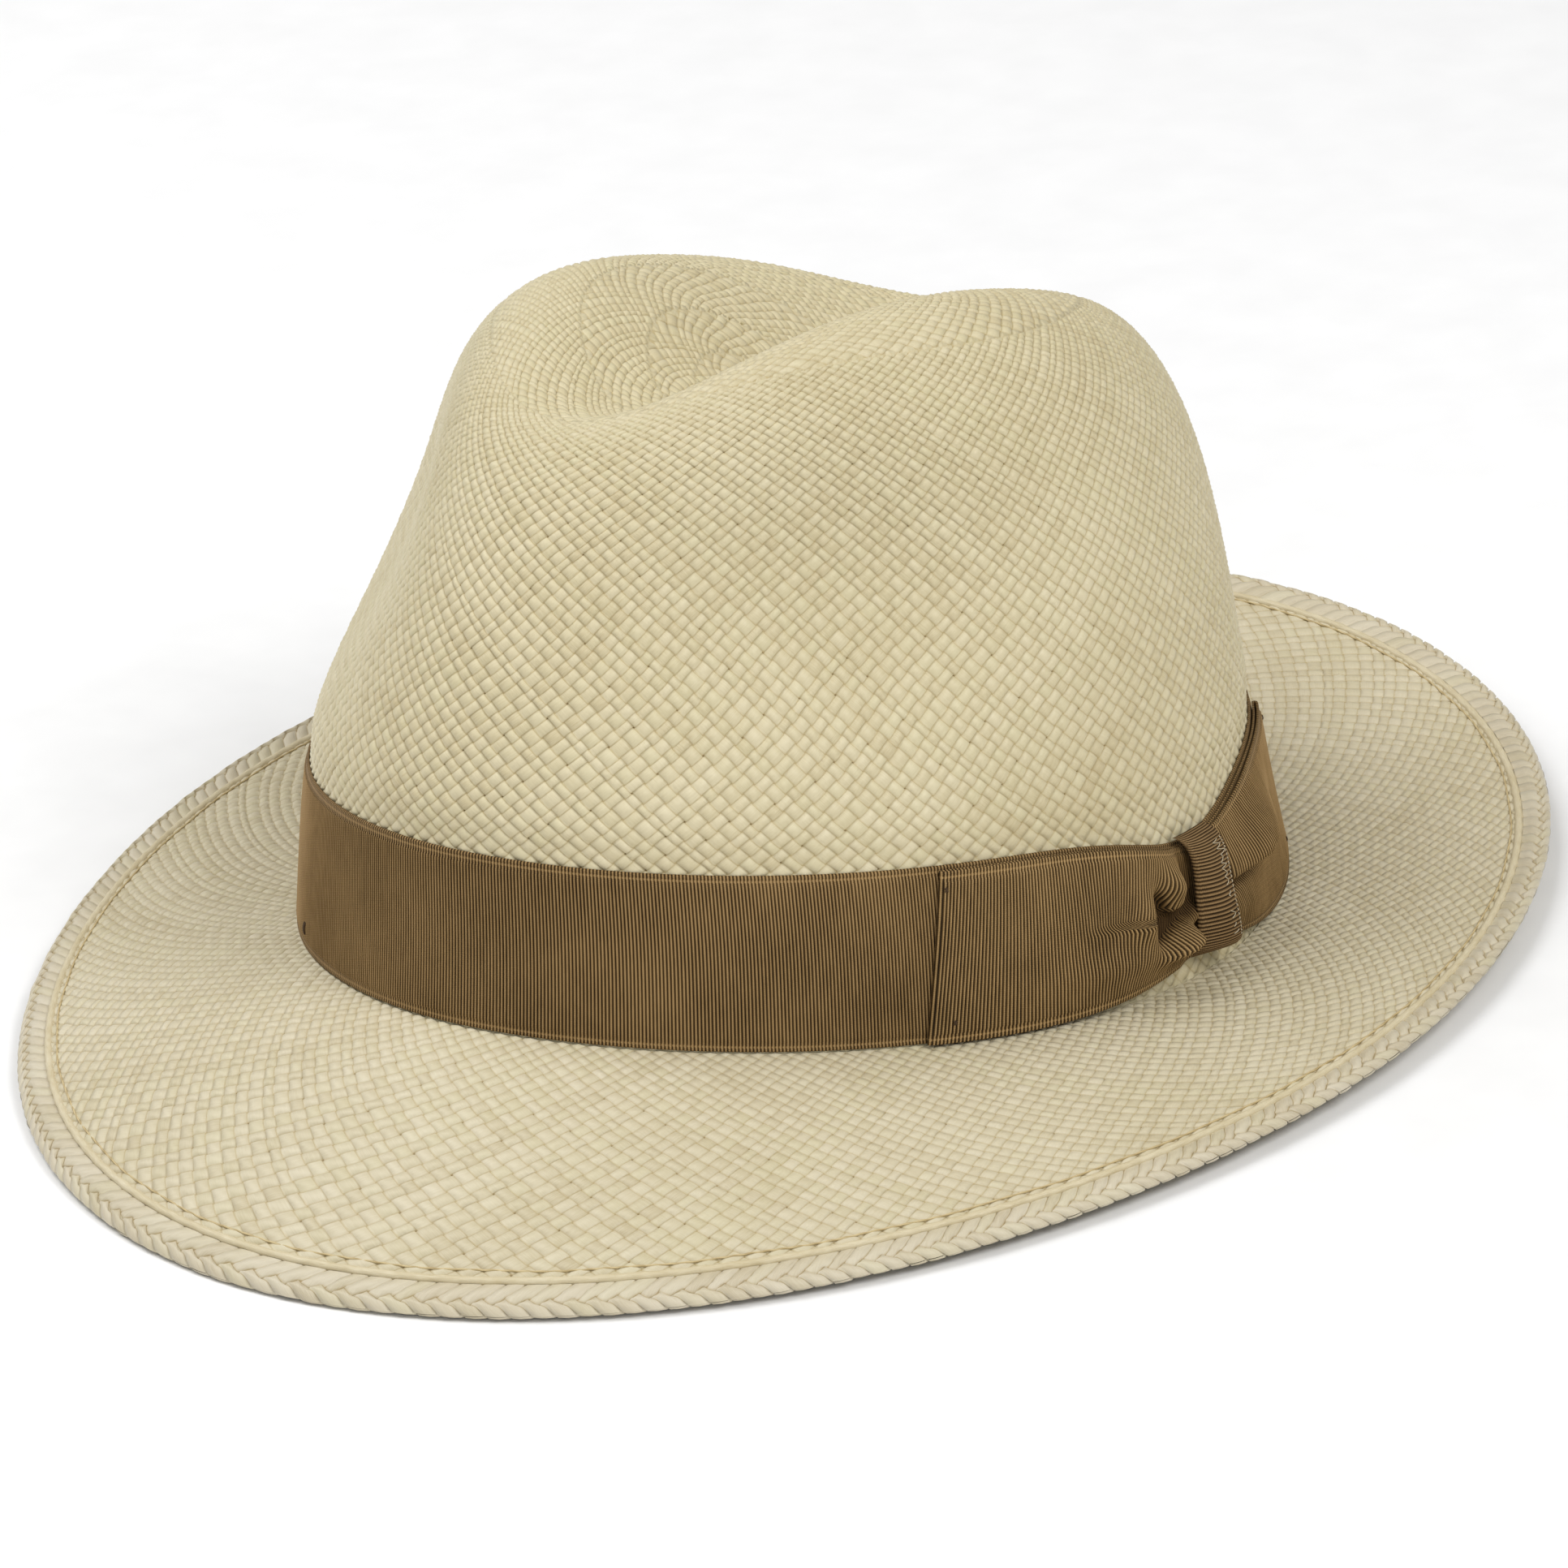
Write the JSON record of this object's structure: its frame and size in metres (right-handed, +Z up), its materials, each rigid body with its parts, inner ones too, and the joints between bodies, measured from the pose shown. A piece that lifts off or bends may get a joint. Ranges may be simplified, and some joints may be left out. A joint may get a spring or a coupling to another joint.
{
  "type": "panama hat",
  "caption": "Creased straw panama hat with a snapped brim, back-woven border, wide grosgrain ribbon and flat side bow over a leather sweatband.",
  "frame": {"origin": "middle of the outline on the table that the hat stands on: under its front rim and the back of its brim fold", "axes": "+Z up off the table, -Y towards the front of the hat, +X towards the wearer's left, where the bow is"},
  "size_m": [0.2728, 0.3202, 0.1338],
  "materials": {
    "straw": "satin",
    "straw_border": "satin",
    "edge_thread": "matte",
    "grosgrain": "matte",
    "ribbon_thread": "matte",
    "sweatband_leather": "satin",
    "sweatband_thread": "matte",
    "sweatband_ribbon": "matte"
  },
  "bodies": {
    "root": {"straw_crown": "straw", "straw_brim": "straw", "brim_border": "straw_border", "brim_ridge": "straw_border", "ridge_thread": "edge_thread", "hat_band": "grosgrain", "band_tack": "ribbon_thread", "bow_front_wing": "grosgrain", "bow_rear_wing": "grosgrain", "bow_knot": "grosgrain", "wing_tacks": "ribbon_thread", "knot_stitches": "ribbon_thread", "sweatband": "sweatband_leather", "sweatband_reed": "sweatband_leather", "sweatband_stitching": "sweatband_thread", "sweatband_bow": "sweatband_ribbon"}
  },
  "joints": []
}
